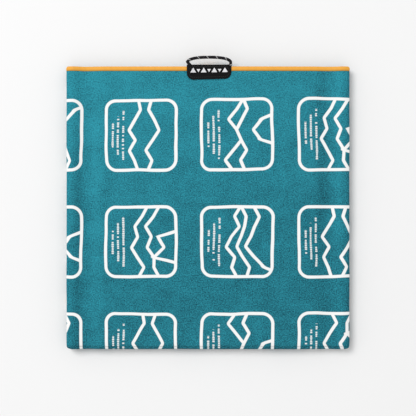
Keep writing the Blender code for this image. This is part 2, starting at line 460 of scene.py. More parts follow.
def ridge_masks(shade, drawing, a, down, side, line):
    """One drawing's ridge lines, each of even width whatever its slope."""
    stops = {"stops": ridge_stops()}
    place = (drawing + down) / len(RIDGES)
    step = 0.004  # the ramp is also read this far to each side, which gives the line's slope
    here, before, after = (
        shade.split(shade.out("ShaderNodeValToRGB", stops, {0: place + offset}))
        for offset in (0.0, -step, step)
    )
    run = 2 * step * len(RIDGES) * side
    scale = side * RIDGE_SCALE
    masks = []
    for middle, above, below in zip(here, before, after):
        slope = (below - above) * (scale / run)
        off = abs(a - middle * scale) / shade.root(1 + slope * slope)
        masks.append(shade.within(off, line / 2, INK_EDGE))
    return masks


def dash_masks(shade, column, row, a, b, side):
    """Columns of short dashes of uneven width, with gaps here and there."""
    tick = shade.floor(b / DASH_PITCH)
    dash = shade.within(abs(shade.fract(b / DASH_PITCH) - 0.5), 0.38, 0.10)
    masks = []
    for index, (centre, share) in enumerate(DASH_COLUMNS):
        there, width, _ = shade.chance(shade.point(column + 7.5 * index, row + 0.5, tick + 0.5))
        mask = shade.within(abs(a - centre), 1.1 + width * 0.4, 0.3) * dash * (there > 0.15)
        masks.append(mask * (abs(b - side / 2) < side * share / 2) * 0.9)
    return masks


def printed(shade, sizes, u, v):
    """Mask of the pale print, from flat cloth coordinates in millimetres."""
    side, line, radius = sizes.side / MM, sizes.line / MM, sizes.radius / MM
    pulled = shade.grain(shade.point(u, v, 9.0), 0.022, 1.0, 0.4)
    pushed = shade.grain(shade.point(u, v, 61.0), 0.022, 1.0, 0.4)
    from_first_u = u + (pulled - 0.5) * OUT_OF_LINE - sizes.first_across / MM
    from_first_v = v + (pushed - 0.5) * OUT_OF_LINE - sizes.first_down / MM
    column = shade.floor(from_first_u / (sizes.across / MM))
    row = shade.floor(from_first_v / (sizes.down / MM))
    a = from_first_u - column * (sizes.across / MM)
    b = from_first_v - row * (sizes.down / MM)
    edge = frame_edge(shade, a, b, side, radius)
    border = shade.within(abs(edge + line / 2), line / 2, INK_EDGE)
    inside = shade.ramp(edge, -line / 2 - INK_EDGE, -line / 2 + INK_EDGE, 1.0, 0.0)

    # every frame has one of the drawings, upside down or not, and shifted a little
    turn, shift, _ = shade.chance(shade.point(column + 0.5, row + 0.5, 3.5))
    order = shade.fract((column + row * 2 + 0.5) / len(RIDGES))
    drawing = shade.floor(order * len(RIDGES))
    down = b / side
    down = down + (turn > 0.5) * (1 - 2 * down)
    down = shade.least(shade.most(down, 0.015), 0.985)
    shifted = a - (shift - 0.5) * DRIFT
    marks = ridge_masks(shade, drawing, shifted, down, side, line)
    marks += dash_masks(shade, column, row, a, b, side)
    return shade.most(border, inside * shade.most(*marks))


def nap_shade(shade, u, v):
    """Painted light and shade on the cloth: painted light and shade in bands beside the side folds, a
    painted fall of light across the towel, and painted shade along the folds and side edges.
    """
    pitch = FOLD_PITCH / MM
    # painted light and shade in bands beside the side folds: their middle and half their width in
    # millimetres from the fold
    left = u - HALF_WIDTH / MM
    right = 3 * HALF_WIDTH / MM - u
    near_left = shade.band(left, 43.0, 15.0) * 0.11 - shade.band(left, 17.5, 11.0) * 0.13
    near_right = shade.band(right, 15.0, 9.0) * 0.11 - shade.band(right, 37.0, 15.0) * 0.13
    near_left = near_left * shade.ramp(v, 10.0, 150.0, 0.25, 1.0)
    near_right = near_right * shade.ramp(v, 210.0, 330.0, 1.0, 0.4)
    # painted light falling off slowly over the whole towel, slanting down to the right
    painted_falloff = shade.sine(1.5 - (u * 0.5 + v * 1.5) * (2 * math.pi / (4 * pitch))) * 0.13
    # painted shade along each fold and along the side edges, more at the right one
    fold = shade.band(shade.fract(v / pitch + 0.5), 0.5, 6.0 / pitch) * (v > pitch / 2)
    painted_crease_shade = shade.most(fold, shade.band(right, 0.0, 6.0), shade.band(left, 0.0, 4.0) * 0.5)
    return painted_falloff + near_left + near_right - painted_crease_shade * 0.21


def suede_material(cloth, sizes):
    """Brushed microfibre with its print: short nap, soft patches and fine speckle."""
    shade = Shade("suede_printed")
    u, v = shade.flat()
    nap = shade.point(u, v)
    patches = shade.grain(nap, 0.030, 3.0, 0.55, 0.6)
    clouds = shade.grain(nap, 0.11, 3.0, 0.6)
    speckle = shade.grain(nap, 0.62, 3.0, 0.8)
    pile = shade.grain(nap, 2.0, 2.0, 0.6)
    # the speckle's dark specks are the gaps between tufts
    mottle = (patches - 0.5) * 0.45 + (clouds - 0.5) * 0.35 + (speckle - 0.5) * 3.0 + (pile - 0.5) * 1.1
    # the cloth's tone: random mottle, plus the painted light and shade
    base = shade.mix(0.61 + nap_shade(shade, u, v) + mottle, cloth.dark, cloth.light)
    ink = printed(shade, sizes, u, v)
    worn = ink * shade.ramp(speckle, 0.20, 0.42, 0.86, 1.0)
    tint = shade.mix(worn, base, sizes.ink)
    height = speckle * 0.7 + pile * 0.5 + ink * 0.25
    constants = {
        "Specular IOR Level": 0.15,
        "Sheen Weight": 0.12,
        "Sheen Roughness": 0.4,
        "Sheen Tint": (0.25, 0.75, 0.85, 1.0),
    }
    return shade.finish(tint, 0.95, shade.bump(height, 0.35 * MM, 0.8), constants)


def reverse_material(cloth):
    """The unprinted side of the suede."""
    shade = Shade("suede_reverse")
    u, v = shade.flat()
    nap = shade.point(u, v)
    speckle = shade.grain(nap, 0.55, 3.0, 0.7)
    patches = shade.grain(nap, 0.05, 2.0, 0.5)
    tint = shade.mix(0.3 + 0.5 * patches + (speckle - 0.5), cloth.dark, cloth.reverse)
    constants = {"Specular IOR Level": 0.15, "Sheen Weight": 0.1}
    return shade.finish(tint, 0.95, shade.bump(speckle, 0.3 * MM, 0.8), constants)


def darker(tint, share):
    """A share of a colour."""
    return tuple(part * share for part in tint)


def hem_material(trim):
    """Glossy polyester thread laid over the cloth's edge in close loops.

    Its second flat coordinate is the angle round the hem, which is half a turn at the cloth."""
    shade = Shade("overlock_thread")
    along, angle = shade.flat()
    phase = shade.fract(along / (trim.stitch_pitch / MM) + angle * 0.05)
    valley = abs(phase - 0.5) * 2
    strand = shade.sine(along * 9.0 + angle * 5.0) * 0.5 + 0.5
    patch = shade.grain(shade.point(along, angle), 0.12, 2.0, 0.5)
    shaded_hem = darker(trim.hem, 0.42)
    tint = shade.mix(0.25 + 0.5 * patch + 0.25 * strand, darker(trim.hem, 0.78), trim.hem)
    # painted shade in the gaps between the stitch loops
    tint = shade.mix(shade.ramp(valley, 0.55, 1.0) * 0.75, tint, shaded_hem)
    # painted shade along the hem's inner edge, where it meets the cloth
    tint = shade.mix(shade.ramp(abs(angle - math.pi), 1.7, 0.4) * 0.62, tint, shaded_hem)
    normal = shade.bump(strand * 0.4 + valley * -0.6, 0.15 * MM, 0.6)
    return shade.finish(tint, 0.6, normal, {"Specular IOR Level": 0.25})


def tape_material(trim):
    """Fine black woven tape: ribs across, floats between them."""
    shade = Shade("woven_tape")
    x, y, _ = shade.place()
    rib = shade.sine(y * 14.0) * 0.5 + 0.5
    weft = shade.sine(x * 11.0 + shade.floor(y * 2.23) * math.pi) * 0.5 + 0.5
    wear = shade.grain(shade.point(x, y), 0.6, 3.0, 0.6)
    tint = shade.mix(rib * 0.3 + weft * 0.3 + (wear - 0.4) * 0.7, trim.tape, darker(trim.tape, 4.0))
    normal = shade.bump(rib * 0.6 + weft * 0.4, 0.12 * MM, 0.7)
    return shade.finish(tint, shade.ramp(weft, 0.0, 1.0, 0.85, 0.65), normal, {"Specular IOR Level": 0.1})


def thread_material(name, tint, twist):
    """Sewing or weaving thread with its twist."""
    shade = Shade(name)
    x, y, _ = shade.place()
    ply = shade.sine((x + y * 0.6) * twist) * 0.5 + 0.5
    return shade.finish(shade.mix(ply, darker(tint, 0.6), tint), 0.5, shade.bump(ply, 0.08 * MM, 0.6))


def cord_material(trim):
    """Black braid with a pale tracer yarn that surfaces at a regular pitch on each side.

    Its second flat coordinate runs from 0 to 1000 once round the cord, from its top."""
    shade = Shade("braided_cord")
    along, turned = shade.flat()
    angle = turned * (2 * math.pi / 1000)
    up = shade.maths("COSINE", angle)
    pitch = trim.fleck_pitch / MM
    lean = (along - 1.0 - shade.sine(angle) * 1.5) / pitch
    above = abs(shade.fract(lean) - 0.5) * pitch
    below = abs(shade.fract(lean + 0.5) - 0.5) * pitch
    flecks = shade.most(
        shade.within(above, 0.38, 0.14) * (up > -0.15),
        shade.within(below, 0.38, 0.14) * (up < -0.35),
    )
    strands = angle * BRAID_STRANDS
    left = shade.sine(along * BRAID_PACE + strands)
    right = shade.sine(along * BRAID_PACE - strands)
    braid = shade.most(left, right) * 0.5 + 0.5
    black = shade.mix(braid * 0.7, trim.cord, darker(trim.cord, 2.4))
    tint = shade.mix(flecks, black, trim.fleck)
    return shade.finish(tint, 0.7, shade.bump(braid, 0.15 * MM, 0.7), {"Specular IOR Level": 0.12})


def floor_material(stage):
    """Plain pale floor with a trace of unevenness."""
    shade = Shade("studio_floor")
    x, y, _ = shade.place()
    haze = shade.grain(shade.point(x, y), 0.01, 2.0, 0.5)
    tint = shade.mix(haze, stage.floor, darker(stage.floor, 0.995))
    return shade.finish(tint, 0.9, None, {"Specular IOR Level": 0.2})


# ---------------------------------------------------------------- folding the cloth


def section(s, out=0.0):
    """Across a leaf: x and height over its flap side, for cloth s from the middle of the face.

    out moves the point off the middle of the cloth, towards its printed side."""
    reach = abs(s)
    sign = math.copysign(1.0, s)
    if reach <= FACE_HALF:
        return s, LEAF - CLOTH / 2 + out
    if reach <= FACE_HALF + TURN_LENGTH:
        angle = (reach - FACE_HALF) / TURN
        radius = TURN + out
        return sign * (FACE_HALF + radius * math.sin(angle)), LEAF / 2 + radius * math.cos(angle)
    return sign * (2 * FACE_HALF + TURN_LENGTH - reach), CLOTH / 2 - out


def face_is_up(leaf):
    """The zigzag turns every second leaf over."""
    return leaf % 2 == LEAF_COUNT % 2


def leaf_point(leaf, s, y, out=0.0):
    """A point of a leaf's cloth."""
    x, height = section(s, out)
    if not face_is_up(leaf):
        height = LEAF - height
    return relax(x, y, (leaf - 1) * LEAF_STEP + height)


def turn_point(fold, s, angle, out=0.0):
    """A point of the bend between two leaves; the angle goes from the lower leaf to the upper."""
    x, height = section(s, out)
    if fold % 2 == 1:
        height = LEAF - height
        axis_y, side = REAR_FOLD, 1
    else:
        axis_y, side = FRONT_FOLD, -1
    radius = LEAF_GAP / 2 + height
    y = axis_y + side * radius * math.sin(angle)
    z = fold * LEAF_STEP - LEAF_GAP / 2 - radius * math.cos(angle)
    return relax(x, y, z)


def bell(distance, centre, width):
    """Smooth bump of height 1."""
    return math.exp(-(((distance - centre) / width) ** 2))


def wobble(x, y, z):
    """Smooth unevenness from about -1 to 1; one unit is one bump."""
    return noise.noise(Vector((x, y, z)))


def relief(x, y):
    """Height that the top of the packet gains from the softness of its folds."""
    cloth = bpy.context.scene.towel_cloth
    height = 0.0
    # a roll of cloth lies 9 mm in from each side fold and a valley 28 mm in, both uneven
    for side in (-1, 1):
        edge = HALF_WIDTH - side * x
        swell = 0.85 + 0.55 * wobble(side * 3.1, y * 7.0, 0.4)
        roll = cloth.roll * bell(edge, 9 * MM, 8 * MM)
        valley = cloth.valley * bell(edge, 28 * MM, 13 * MM)
        height += swell * (roll - valley) - cloth.droop * bell(edge, -1 * MM, 5 * MM)
    # the front folds have a lower roll and no valley
    fold = y - FOLD_LINE
    height += cloth.roll * 0.5 * bell(fold, 12 * MM, 10 * MM)
    height -= cloth.droop * bell(fold, -1 * MM, 5.5 * MM)
    # slow waves, then small ones on them
    height += cloth.wave * 1.4 * wobble(x * 6.5, y * 3.2, 2.7)
    height += cloth.wave * 0.4 * wobble(x * 24.0, y * 17.0, 8.3)
    return height


def relax(x, y, z):
    """Move a point of the neatly folded packet to where the soft one has it."""
    cloth = bpy.context.scene.towel_cloth
    x, y = round_corner(x, y, FOLD_LINE, 1, cloth.corner)
    x, y = round_corner(x, y, HEM_LINE, -1, cloth.corner * 0.5)
    near_side = (abs(x) / HALF_WIDTH) ** 8
    x += math.copysign(near_side * cloth.wander * wobble(y * 14.0, z * 260.0, 1.7), x)
    # the front bends wander; the leaves end on the joints' own lines, which stay put
    past = min(1.0, max(0.0, (FRONT_FOLD - y) / TURN_RADIUS))
    y += past * cloth.wander * wobble(x * 12.0, z * 260.0, 5.9)
    # the lowest layer lies flat, and the ones over it follow the relief more and more
    share = max(0.0, z - CLOTH) / (STACK_TOP - CLOTH)
    z += share * relief(x, y)
    return Vector((x, y, max(FLOOR_GAP, z)))


def round_corner(x, y, line, inward, radius):
    """Round the packet's corners at one of its edges; inward is the way in from that edge."""
    over_x = abs(x) - (HALF_WIDTH - radius)
    over_y = (line + inward * radius - y) * inward
    if over_x <= 0 or over_y <= 0:
        return x, y
    share = max(over_x, over_y) / math.hypot(over_x, over_y)
    x = math.copysign(HALF_WIDTH - radius + over_x * share, x)
    return x, line + inward * (radius - over_y * share)


def steps(start, end, spacing):
    """Evenly spaced numbers from start to end, both included, no further apart than spacing."""
    count = max(1, math.ceil(abs(end - start) / spacing - 1e-6))
    return [start + (end - start) * index / count for index in range(count + 1)]


def across(limit, spacing, turn_steps=8):
    """Where a leaf's cloth has its columns, from one flap's end over the face to the other's."""
    half = steps(0.0, FACE_HALF, spacing)
    half += steps(FACE_HALF, FACE_HALF + TURN_LENGTH, TURN_LENGTH / turn_steps)[1:]
    half += steps(FACE_HALF + TURN_LENGTH, limit, spacing * 2)[1:]
    return [-s for s in reversed(half[1:])] + half


def cloth_below_hem(leaf, y):
    """How far down the flat towel a point of a leaf lies, from the label hem's edge."""
    laid = HEM_LINE - y if face_is_up(leaf) else y - FOLD_LINE
    return (LEAF_COUNT - leaf) * FOLD_PITCH + laid


def flat_place(s, v):
    """Flat cloth coordinates, with the slight stretch that the print shows."""
    sizes = bpy.context.scene.towel_print
    u = s + 2 * HALF_WIDTH
    column = (u - sizes.first_across) / sizes.across + 1  # counted from the one that the left fold cuts
    pull = PRINT_STRETCH * max(0.0, column * (3 - column))
    skew = 0.0
    if 0 <= v < SKEW_REACH:
        skew = PRINT_SKEW * (math.tanh(s / SKEW_WIDTH) + 1) * (1 - v / SKEW_REACH)
    return u + pull, v + skew


# ---------------------------------------------------------------- meshes


def surface(name, columns, rows, place, flat, closed=False):
    """Mesh of a grid, each crossing of a column and a row put in place.

    place and flat turn a column's and a row's numbers into a point and a UV. A closed surface is
    joined along its first and last column and capped at its first and last row."""
    work = bmesh.new()
    wide, tall = len(columns) - 1, len(rows) - 1
    bmesh.ops.create_grid(work, x_segments=wide, y_segments=tall, size=1.0)
    maps = work.loops.layers.uv.new("UVMap")
    spots = {}
    for vert in work.verts:
        column = columns[round((vert.co.x + 1) / 2 * wide)]
        row = rows[round((vert.co.y + 1) / 2 * tall)]
        spots[vert] = (flat(column, row), place(column, row))
    for face in work.faces:
        for loop in face.loops:
            loop[maps].uv = spots[loop.vert][0]
    for vert, (_, point) in spots.items():
        vert.co = point
    if closed:
        bmesh.ops.remove_doubles(work, verts=work.verts, dist=1e-7)
        ends = [edge for edge in work.edges if edge.is_boundary]
        caps = bmesh.ops.holes_fill(work, edges=ends, sides=0)["faces"]
        bmesh.ops.triangulate(work, faces=caps)
        bmesh.ops.recalc_face_normals(work, faces=work.faces)
    return new_piece(name, work)


def new_piece(name, work):
    """Make a finished bmesh an object at the origin, shaded smooth."""
    mesh = bpy.data.meshes.new(name)
    work.to_mesh(mesh)
    work.free()
    mesh.shade_smooth()
    piece = bpy.data.objects.new(name, mesh)
    bpy.context.scene.collection.objects.link(piece)
    return piece


def thicken(piece, thickness, front, back):
    """Give a sheet its thickness, with another material on its reverse."""
    piece.data.materials.append(front)
    piece.data.materials.append(back)
    wall = piece.modifiers.new("Thickness", "SOLIDIFY")
    wall.thickness = thickness
    wall.offset = 0.0
    wall.material_offset = 1
    wall.material_offset_rim = 1


def finish_piece(piece, body, slot, *nodes):
    """Fasten a piece to its body, if it has one, and hide the nodes that it stands for; the slot is not
    used.
    """
    if body is not None:
        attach(piece, body)
    if nodes:
        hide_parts(*nodes)


def kept_material(name, make, *arguments):
    """Make a material once and find it again after that."""
    return bpy.data.materials.get(name) or make(*arguments)


def suede_pair(scene):
    """The cloth's two materials: its printed side and its reverse."""
    front = kept_material("suede_printed", suede_material, scene.towel_cloth, scene.towel_print)
    back = kept_material("suede_reverse", reverse_material, scene.towel_cloth)
    return front, back


def cloth_ends(leaf):
    """Where a leaf's own cloth starts and ends along Y: at a fold line or beside a hem."""
    low = FAR_EDGE + HEM_WIDTH if leaf == 1 else FRONT_FOLD
    high = HEM_LINE - HEM_WIDTH if leaf == LEAF_COUNT else REAR_FOLD
    return low, high


def make_leaf(leaf, scene):
    """One leaf of the folded cloth: printed face, side turns and flaps in one sheet."""
    spacing = 2.5 * MM if leaf == LEAF_COUNT else 5 * MM  # the top leaf shows, so its faces are finer
    limit = FLAT_HALF - HEM_WIDTH
    columns = across(limit, spacing)
    low, high = cloth_ends(leaf)
    rows = steps(low, high, spacing)
    if not face_is_up(leaf):
        rows.reverse()
    piece = surface(
        f"cloth_leaf_{leaf}",
        columns,
        rows,
        lambda s, y: leaf_point(leaf, s, y),
        lambda s, y: flat_place(s, cloth_below_hem(leaf, y)),
    )
    thicken(piece, SUEDE, *suede_pair(scene))
    finish_piece(piece, f"leaf_{leaf}", "cloth", f"leaf_{leaf}")
    return piece


def turn_row(fold, angle):
    """How far down the flat towel a point of a bend lies."""
    half = FOLD_PITCH / 2 - (REAR_FOLD - FRONT_FOLD) / 2
    middle = (LEAF_COUNT - fold) * FOLD_PITCH
    return middle + half * (1 - 2 * angle / math.pi)


def make_turn(fold, scene):
    """The bend of cloth that joins two leaves."""
    columns = across(FLAT_HALF - HEM_WIDTH, 5 * MM)
    rows = steps(0.0, math.pi, math.pi / TURN_ROWS)
    if fold % 2 == 1:
        rows.reverse()
    piece = surface(
        f"cloth_turn_{fold}",
        columns,
        rows,
        lambda s, angle: turn_point(fold, s, angle),
        lambda s, angle: flat_place(s, turn_row(fold, angle)),
    )
    thicken(piece, SUEDE, *suede_pair(scene))
    bend(piece, fold)
    finish_piece(piece, None, "cloth", f"fold_turn_{fold}")


def bend(piece, fold):
    """Bake a piece's placement into its mesh."""
    centre = Vector(JOINTS[f"fold_{fold}"]["pos_m"])
    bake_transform(piece)


# ---------------------------------------------------------------- hems

PRESSED_HEM = CLOTH * 0.5 + 0.1 * MM  # how far a hem between two leaves stands off the cloth's middle

def hem_outline(angle, phase):
    """Cross-section of an overlocked edge: offset along the cloth and out of it, in metres.

    It stands highest in the middle of each stitch, whose phase is 0, and has a groove along it."""
    wide = math.cos(angle) * HEM_WIDTH / 2
    ridge = 0.5 + 0.5 * math.cos(2 * math.pi * phase)
    rise = CLOTH * 0.5 + (0.26 + 0.18 * ridge) * MM
    groove = 0.20 * MM * bell(wide, -0.5 * MM, 0.5 * MM)
    return wide, math.copysign(abs(math.sin(angle)) ** 0.9, math.sin(angle)) * (rise - groove)


def hem_tube(name, sides, rows, place, along, scene):
    """Closed tube of thread round a cloth edge; along gives a row's length of thread."""
    piece = surface(
        name,
        steps(0.0, 2 * math.pi, 2 * math.pi / sides),
        rows,
        place,
        lambda angle, row: (along(row), angle * MM),
        closed=True,
    )
    piece.data.materials.append(kept_material("overlock_thread", hem_material, scene.towel_trim))
    return piece


def end_hem(name, leaf, centre_y, outward, scene):
    """Overlocked short edge, which runs round the folded leaf from flap to flap."""
    pitch = scene.towel_trim.stitch_pitch

    def place(angle, s):
        wide, out = hem_outline(angle, s / pitch + 0.25 * math.cos(angle))
        return leaf_point(leaf, s, centre_y + outward * wide, out)

    return hem_tube(name, 16, steps(-FLAT_HALF, FLAT_HALF, pitch / 4), place, lambda s: s, scene)


def side_hem(name, leaf, sign, scene):
    """Overlocked long edge on one flap of one leaf."""
    pitch = scene.towel_trim.stitch_pitch
    low, high = cloth_ends(leaf)
    middle = sign * (FLAT_HALF - HEM_WIDTH / 2)

    def place(angle, y):
        wide, out = hem_outline(angle, y / pitch + 0.25 * math.cos(angle))
        return leaf_point(leaf, middle + sign * wide, y, min(out, PRESSED_HEM))

    return hem_tube(name, 10, steps(low, high, pitch / 3), place, lambda y: y, scene)


def turn_hem(name, fold, sign, scene):
    """Overlocked long edge where it goes round a bend between two leaves."""
    middle = sign * (FLAT_HALF - HEM_WIDTH / 2)

    def place(angle, turn):
        wide, out = hem_outline(angle, turn * 1.6)
        return turn_point(fold, middle + sign * wide, turn, min(out, PRESSED_HEM))

    rows = steps(0.0, math.pi, math.pi / TURN_ROWS)
    piece = hem_tube(name, 10, rows, place, lambda turn: turn * 3 * MM, scene)
    bend(piece, fold)
    finish_piece(piece, None, "hem_thread")


# ---------------------------------------------------------------- label and cord

TAPE = 0.60 * MM  # thickness of the label's tape
LABEL_REST = 0.85 * MM  # from the neat packet's top to the middle of the tape
LABEL_BACK = 1.7 * MM  # from the neat packet's top down to the label's back half
LABEL_CORNER = 8.8 * MM
LABEL_SLANT = 1.6 * MM  # how much higher the label's lower edge lies at its right end
BIGHT = 1.15 * MM  # from the hem's edge to the centre of the label's fold
LABEL_FRONT = HEM_LINE + BIGHT - LABEL_LOW[1]  # length of tape in the label's front
LABEL_BEND = math.pi * 1.25 * MM  # length of tape round its fold
CORNER_STEPS = 8
SEAM_INSET = 3.1 * MM
CORD_TUCK = 25.8 * MM  # from the label's middle to where a cord end lies under it
CORD_BUMP = 1.65 * MM  # how far the label rises over a cord end
PEAKS = 7  # in the label's motif
PEAK_PITCH = 7.1 * MM
CORD_REACH = 9.5 * MM  # how far the cord ends go in under the label from the hem's edge


def step_up(distance, centre, width):
    """Smooth step from 0 to 1."""
    return 1 / (1 + math.exp((centre - distance) / width))


def label_half(reach):
    """Half the label's width at a distance from its free edge, less in the rounded corners."""
    if reach >= LABEL_CORNER:
        return LABEL_HALF
    gap = LABEL_CORNER - reach
    return LABEL_HALF - LABEL_CORNER + math.sqrt(LABEL_CORNER**2 - gap * gap)


def label_lift(x, y):
    """Height of the label's front over the neat packet, at the middle of the tape."""
    off_cord = abs(abs(x - LABEL_X) - CORD_TUCK)
    bump = CORD_BUMP * bell(off_cord, 0.0, 3.4 * MM) * step_up(y, HEM_LINE - CORD_REACH, 1.2 * MM)
    crown = 0.25 * MM * max(0.0, 1 - (abs(x - LABEL_X) / (LABEL_HALF - SEAM_INSET)) ** 4)
    return STACK_TOP + LABEL_REST + bump + crown


def label_taper(x, y):
    """The label's lower edge runs up a little to the right."""
    share = (HEM_LINE - y) / (HEM_LINE - LABEL_LOW[1])
    slope = (x - LABEL_X + LABEL_HALF) / (2 * LABEL_HALF)
    return y + LABEL_SLANT * slope * max(0.0, share)


def label_point(share, path):
    """A point of the tape: share from -1 to 1 across it, path from the front's edge over the fold."""
    if path <= LABEL_FRONT:
        x = LABEL_X + share * label_half(path)
        y = LABEL_LOW[1] + path
        return relax(x, label_taper(x, y), label_lift(x, y))
    back = STACK_TOP - LABEL_BACK
    fold_y = HEM_LINE + BIGHT
    path -= LABEL_FRONT
    if path <= LABEL_BEND:
        x = LABEL_X + share * LABEL_HALF
        top = label_lift(x, fold_y)
        angle = path / LABEL_BEND * math.pi
        centre = (top + back) / 2
        y = fold_y + BIGHT * 0.85 * math.sin(angle)
        return relax(x, y, centre + (top - centre) * math.cos(angle))
    path -= LABEL_BEND
    return relax(LABEL_X + share * label_half(LABEL_FRONT - path), fold_y - path, back)


def make_label(scene):
    """Woven tape folded over the hem, its front lying on the cloth."""
    quarter = math.pi / 2 / CORNER_STEPS
    corner = [LABEL_CORNER * (1 - math.cos(quarter * step)) for step in range(CORNER_STEPS + 1)]
    corner[0] = 0.02 * MM  # a hair in from the edge, where the rounded corners start
    back = LABEL_FRONT + LABEL_BEND
    rows = corner + steps(LABEL_CORNER, LABEL_FRONT, 0.9 * MM)[1:]
    rows += steps(LABEL_FRONT, back, LABEL_BEND / 8)[1:]
    rows += [back + reach for reach in steps(0.0, LABEL_FRONT - LABEL_CORNER, 1.5 * MM)[1:]]
    rows += [back + LABEL_FRONT - reach for reach in reversed(corner[:-1])]
    piece = surface(
        "woven_label",
        steps(-1.0, 1.0, 1 / 34),
        rows,
        label_point,
        lambda share, path: (share * LABEL_HALF, path),
    )
    tape = kept_material("woven_tape", tape_material, scene.towel_trim)
    thicken(piece, TAPE, tape, tape)
    rounding = piece.modifiers.new("Edges", "BEVEL")
    rounding.width = 0.12 * MM
    rounding.segments = 2
    rounding.limit_method = "ANGLE"
    rounding.angle_limit = math.radians(50)
    finish_piece(piece, f"leaf_{LEAF_COUNT}", "label_tape", "label")


def seam_route():
    """Points along the label's seam line, a rounded rectangle inside its front's edge."""
    low = LABEL_LOW[1] + SEAM_INSET
    high = HEM_LINE - 0.6 * MM
    left = LABEL_X - LABEL_HALF + SEAM_INSET
    right = LABEL_X + LABEL_HALF - SEAM_INSET
    radius = LABEL_CORNER - SEAM_INSET
    corners = (
        (right - radius, low + radius, -90),
        (right - radius, high - radius, 0),
        (left + radius, high - radius, 90),
        (left + radius, low + radius, 180),
    )
    points = []
    for x, y, start in corners:
        for step in range(CORNER_STEPS + 1):
            angle = math.radians(start + 90 * step / CORNER_STEPS)
            points.append(Vector((x + radius * math.cos(angle), y + radius * math.sin(angle))))
    return points + points[:1]


def walk(points, pitch):
    """Evenly spaced places along a route, each with the direction there."""
    lengths = [(b - a).length for a, b in zip(points, points[1:])]
    count = round(sum(lengths) / pitch)
    spacing = sum(lengths) / count
    travelled, target = 0.0, spacing / 2
    for (a, b), size in zip(zip(points, points[1:]), lengths):
        while target <= travelled + size and size > 0:
            yield a.lerp(b, (target - travelled) / size), (b - a).normalized()
            target += spacing
        travelled += size


def make_label_seam(scene):
    """Single stitches sunk a little into the label's front."""
    trim = scene.towel_trim
    half_stitch = (trim.seam_pitch * 0.40, 0.27 * MM, 0.20 * MM)
    work = bmesh.new()
    for spot, heading in walk(seam_route(), trim.seam_pitch):
        made = bmesh.ops.create_icosphere(work, subdivisions=2, radius=1.0)["verts"]
        bmesh.ops.scale(work, verts=made, vec=half_stitch)
        turn = Matrix.Rotation(math.atan2(heading.y, heading.x), 3, "Z")
        bmesh.ops.rotate(work, verts=made, cent=(0, 0, 0), matrix=turn)
        height = label_lift(spot.x, spot.y) + TAPE / 2 + 0.05 * MM
        place = relax(spot.x, label_taper(spot.x, spot.y), height)
        bmesh.ops.translate(work, verts=made, vec=place)
    piece = new_piece("label_seam", work)
    thread = kept_material("seam_thread", thread_material, "seam_thread", trim.seam, 9.0)
    piece.data.materials.append(thread)
    finish_piece(piece, f"leaf_{LEAF_COUNT}", "seam_thread", "label_stitching")


def make_label_motif(scene):
    """A plain row of small peaks in pale yarn on the label's front, every second one upside down."""
    work = bmesh.new()
    for index in range(PEAKS):
        upright = index % 2 == 0
        radius = (4.5 if upright else 2.9) * MM
        made = bmesh.ops.create_circle(work, cap_ends=True, segments=3, radius=radius)["verts"]
        spin = Matrix.Rotation(math.radians(0 if upright else 180), 3, "Z")
        bmesh.ops.rotate(work, verts=made, cent=(0, 0, 0), matrix=spin)
        x = LABEL_X + (index - (PEAKS - 1) / 2) * PEAK_PITCH
        y = HEM_LINE - (6.4 if upright else 5.4) * MM
        bmesh.ops.translate(work, verts=made, vec=(x, y, 0))
    bmesh.ops.triangulate(work, faces=work.faces)
    bmesh.ops.subdivide_edges(work, edges=work.edges, cuts=5, use_grid_fill=True)
    rim = [edge for edge in work.edges if edge.is_boundary]
    tops = bmesh.ops.extrude_face_region(work, geom=list(work.faces))["geom"]
    raised = [item for item in tops if isinstance(item, bmesh.types.BMVert)]
    bmesh.ops.translate(work, verts=raised, vec=(0, 0, 0.22 * MM))
    bmesh.ops.recalc_face_normals(work, faces=work.faces)
    sharp = [edge for edge in work.edges if edge.calc_face_angle(0.0) > 1.0 and edge not in rim]
    bmesh.ops.bevel(
        work,
        geom=sharp,
        offset=0.08 * MM,
        affect="EDGES",
        segments=2,
        profile=0.5,
        material=-1,
    )
    # lay the flat row on the label's curved front
    for vert in work.verts:
        x, y, over = vert.co
        height = label_lift(x, y) + TAPE / 2 - 0.05 * MM + over
        vert.co = relax(x, label_taper(x, y), height)
    piece = new_piece("label_motif", work)
    yarn = kept_material("motif_yarn", thread_material, "motif_yarn", scene.towel_trim.motif, 12.0)
    piece.data.materials.append(yarn)
    finish_piece(piece, f"leaf_{LEAF_COUNT}", "seam_thread")


LOOP_SQUARENESS = 2.4  # power of the loop's outline; 2 is an ellipse
LOOP_STEPS = 28


def loop_route():
    """The cord's middle line: from under the label's left corner round the arch to its right."""
    half = (LOOP_HIGH[0] - LOOP_LOW[0]) / 2 - CORD_DIAMETER / 2
    rise = LOOP_HIGH[1] - CORD_DIAMETER / 2 - LOOP_PIVOT.y
    height = STACK_TOP + 1.2 * MM
    # the ends come out from under the label: millimetres from its middle, and from the hem's edge
    left = ((25.4, -8.0), (25.2, -5.0), (25.0, -2.0), (24.9, 0.6), (26.0, 2.4))
    right = ((25.9, -8.0), (26.1, -5.0), (26.8, -2.0), (27.9, 0.4), (28.9, 2.4))
    route = [Vector((LABEL_X - x * MM, HEM_LINE + y * MM, height)) for x, y in left]
    power = 2 / LOOP_SQUARENESS
    for step in range(1, LOOP_STEPS):
        angle = math.pi * (1 - step / LOOP_STEPS)
        flat, up = math.cos(angle), math.sin(angle)
        x = math.copysign(abs(flat) ** power, flat) * half
        sag = 0.3 * MM * up
        route.append(Vector((LABEL_X + x, LOOP_PIVOT.y + up**power * rise, LOOP_PIVOT.z + sag)))
    route += [Vector((LABEL_X + x * MM, HEM_LINE + y * MM, height)) for x, y in reversed(right)]
    return route


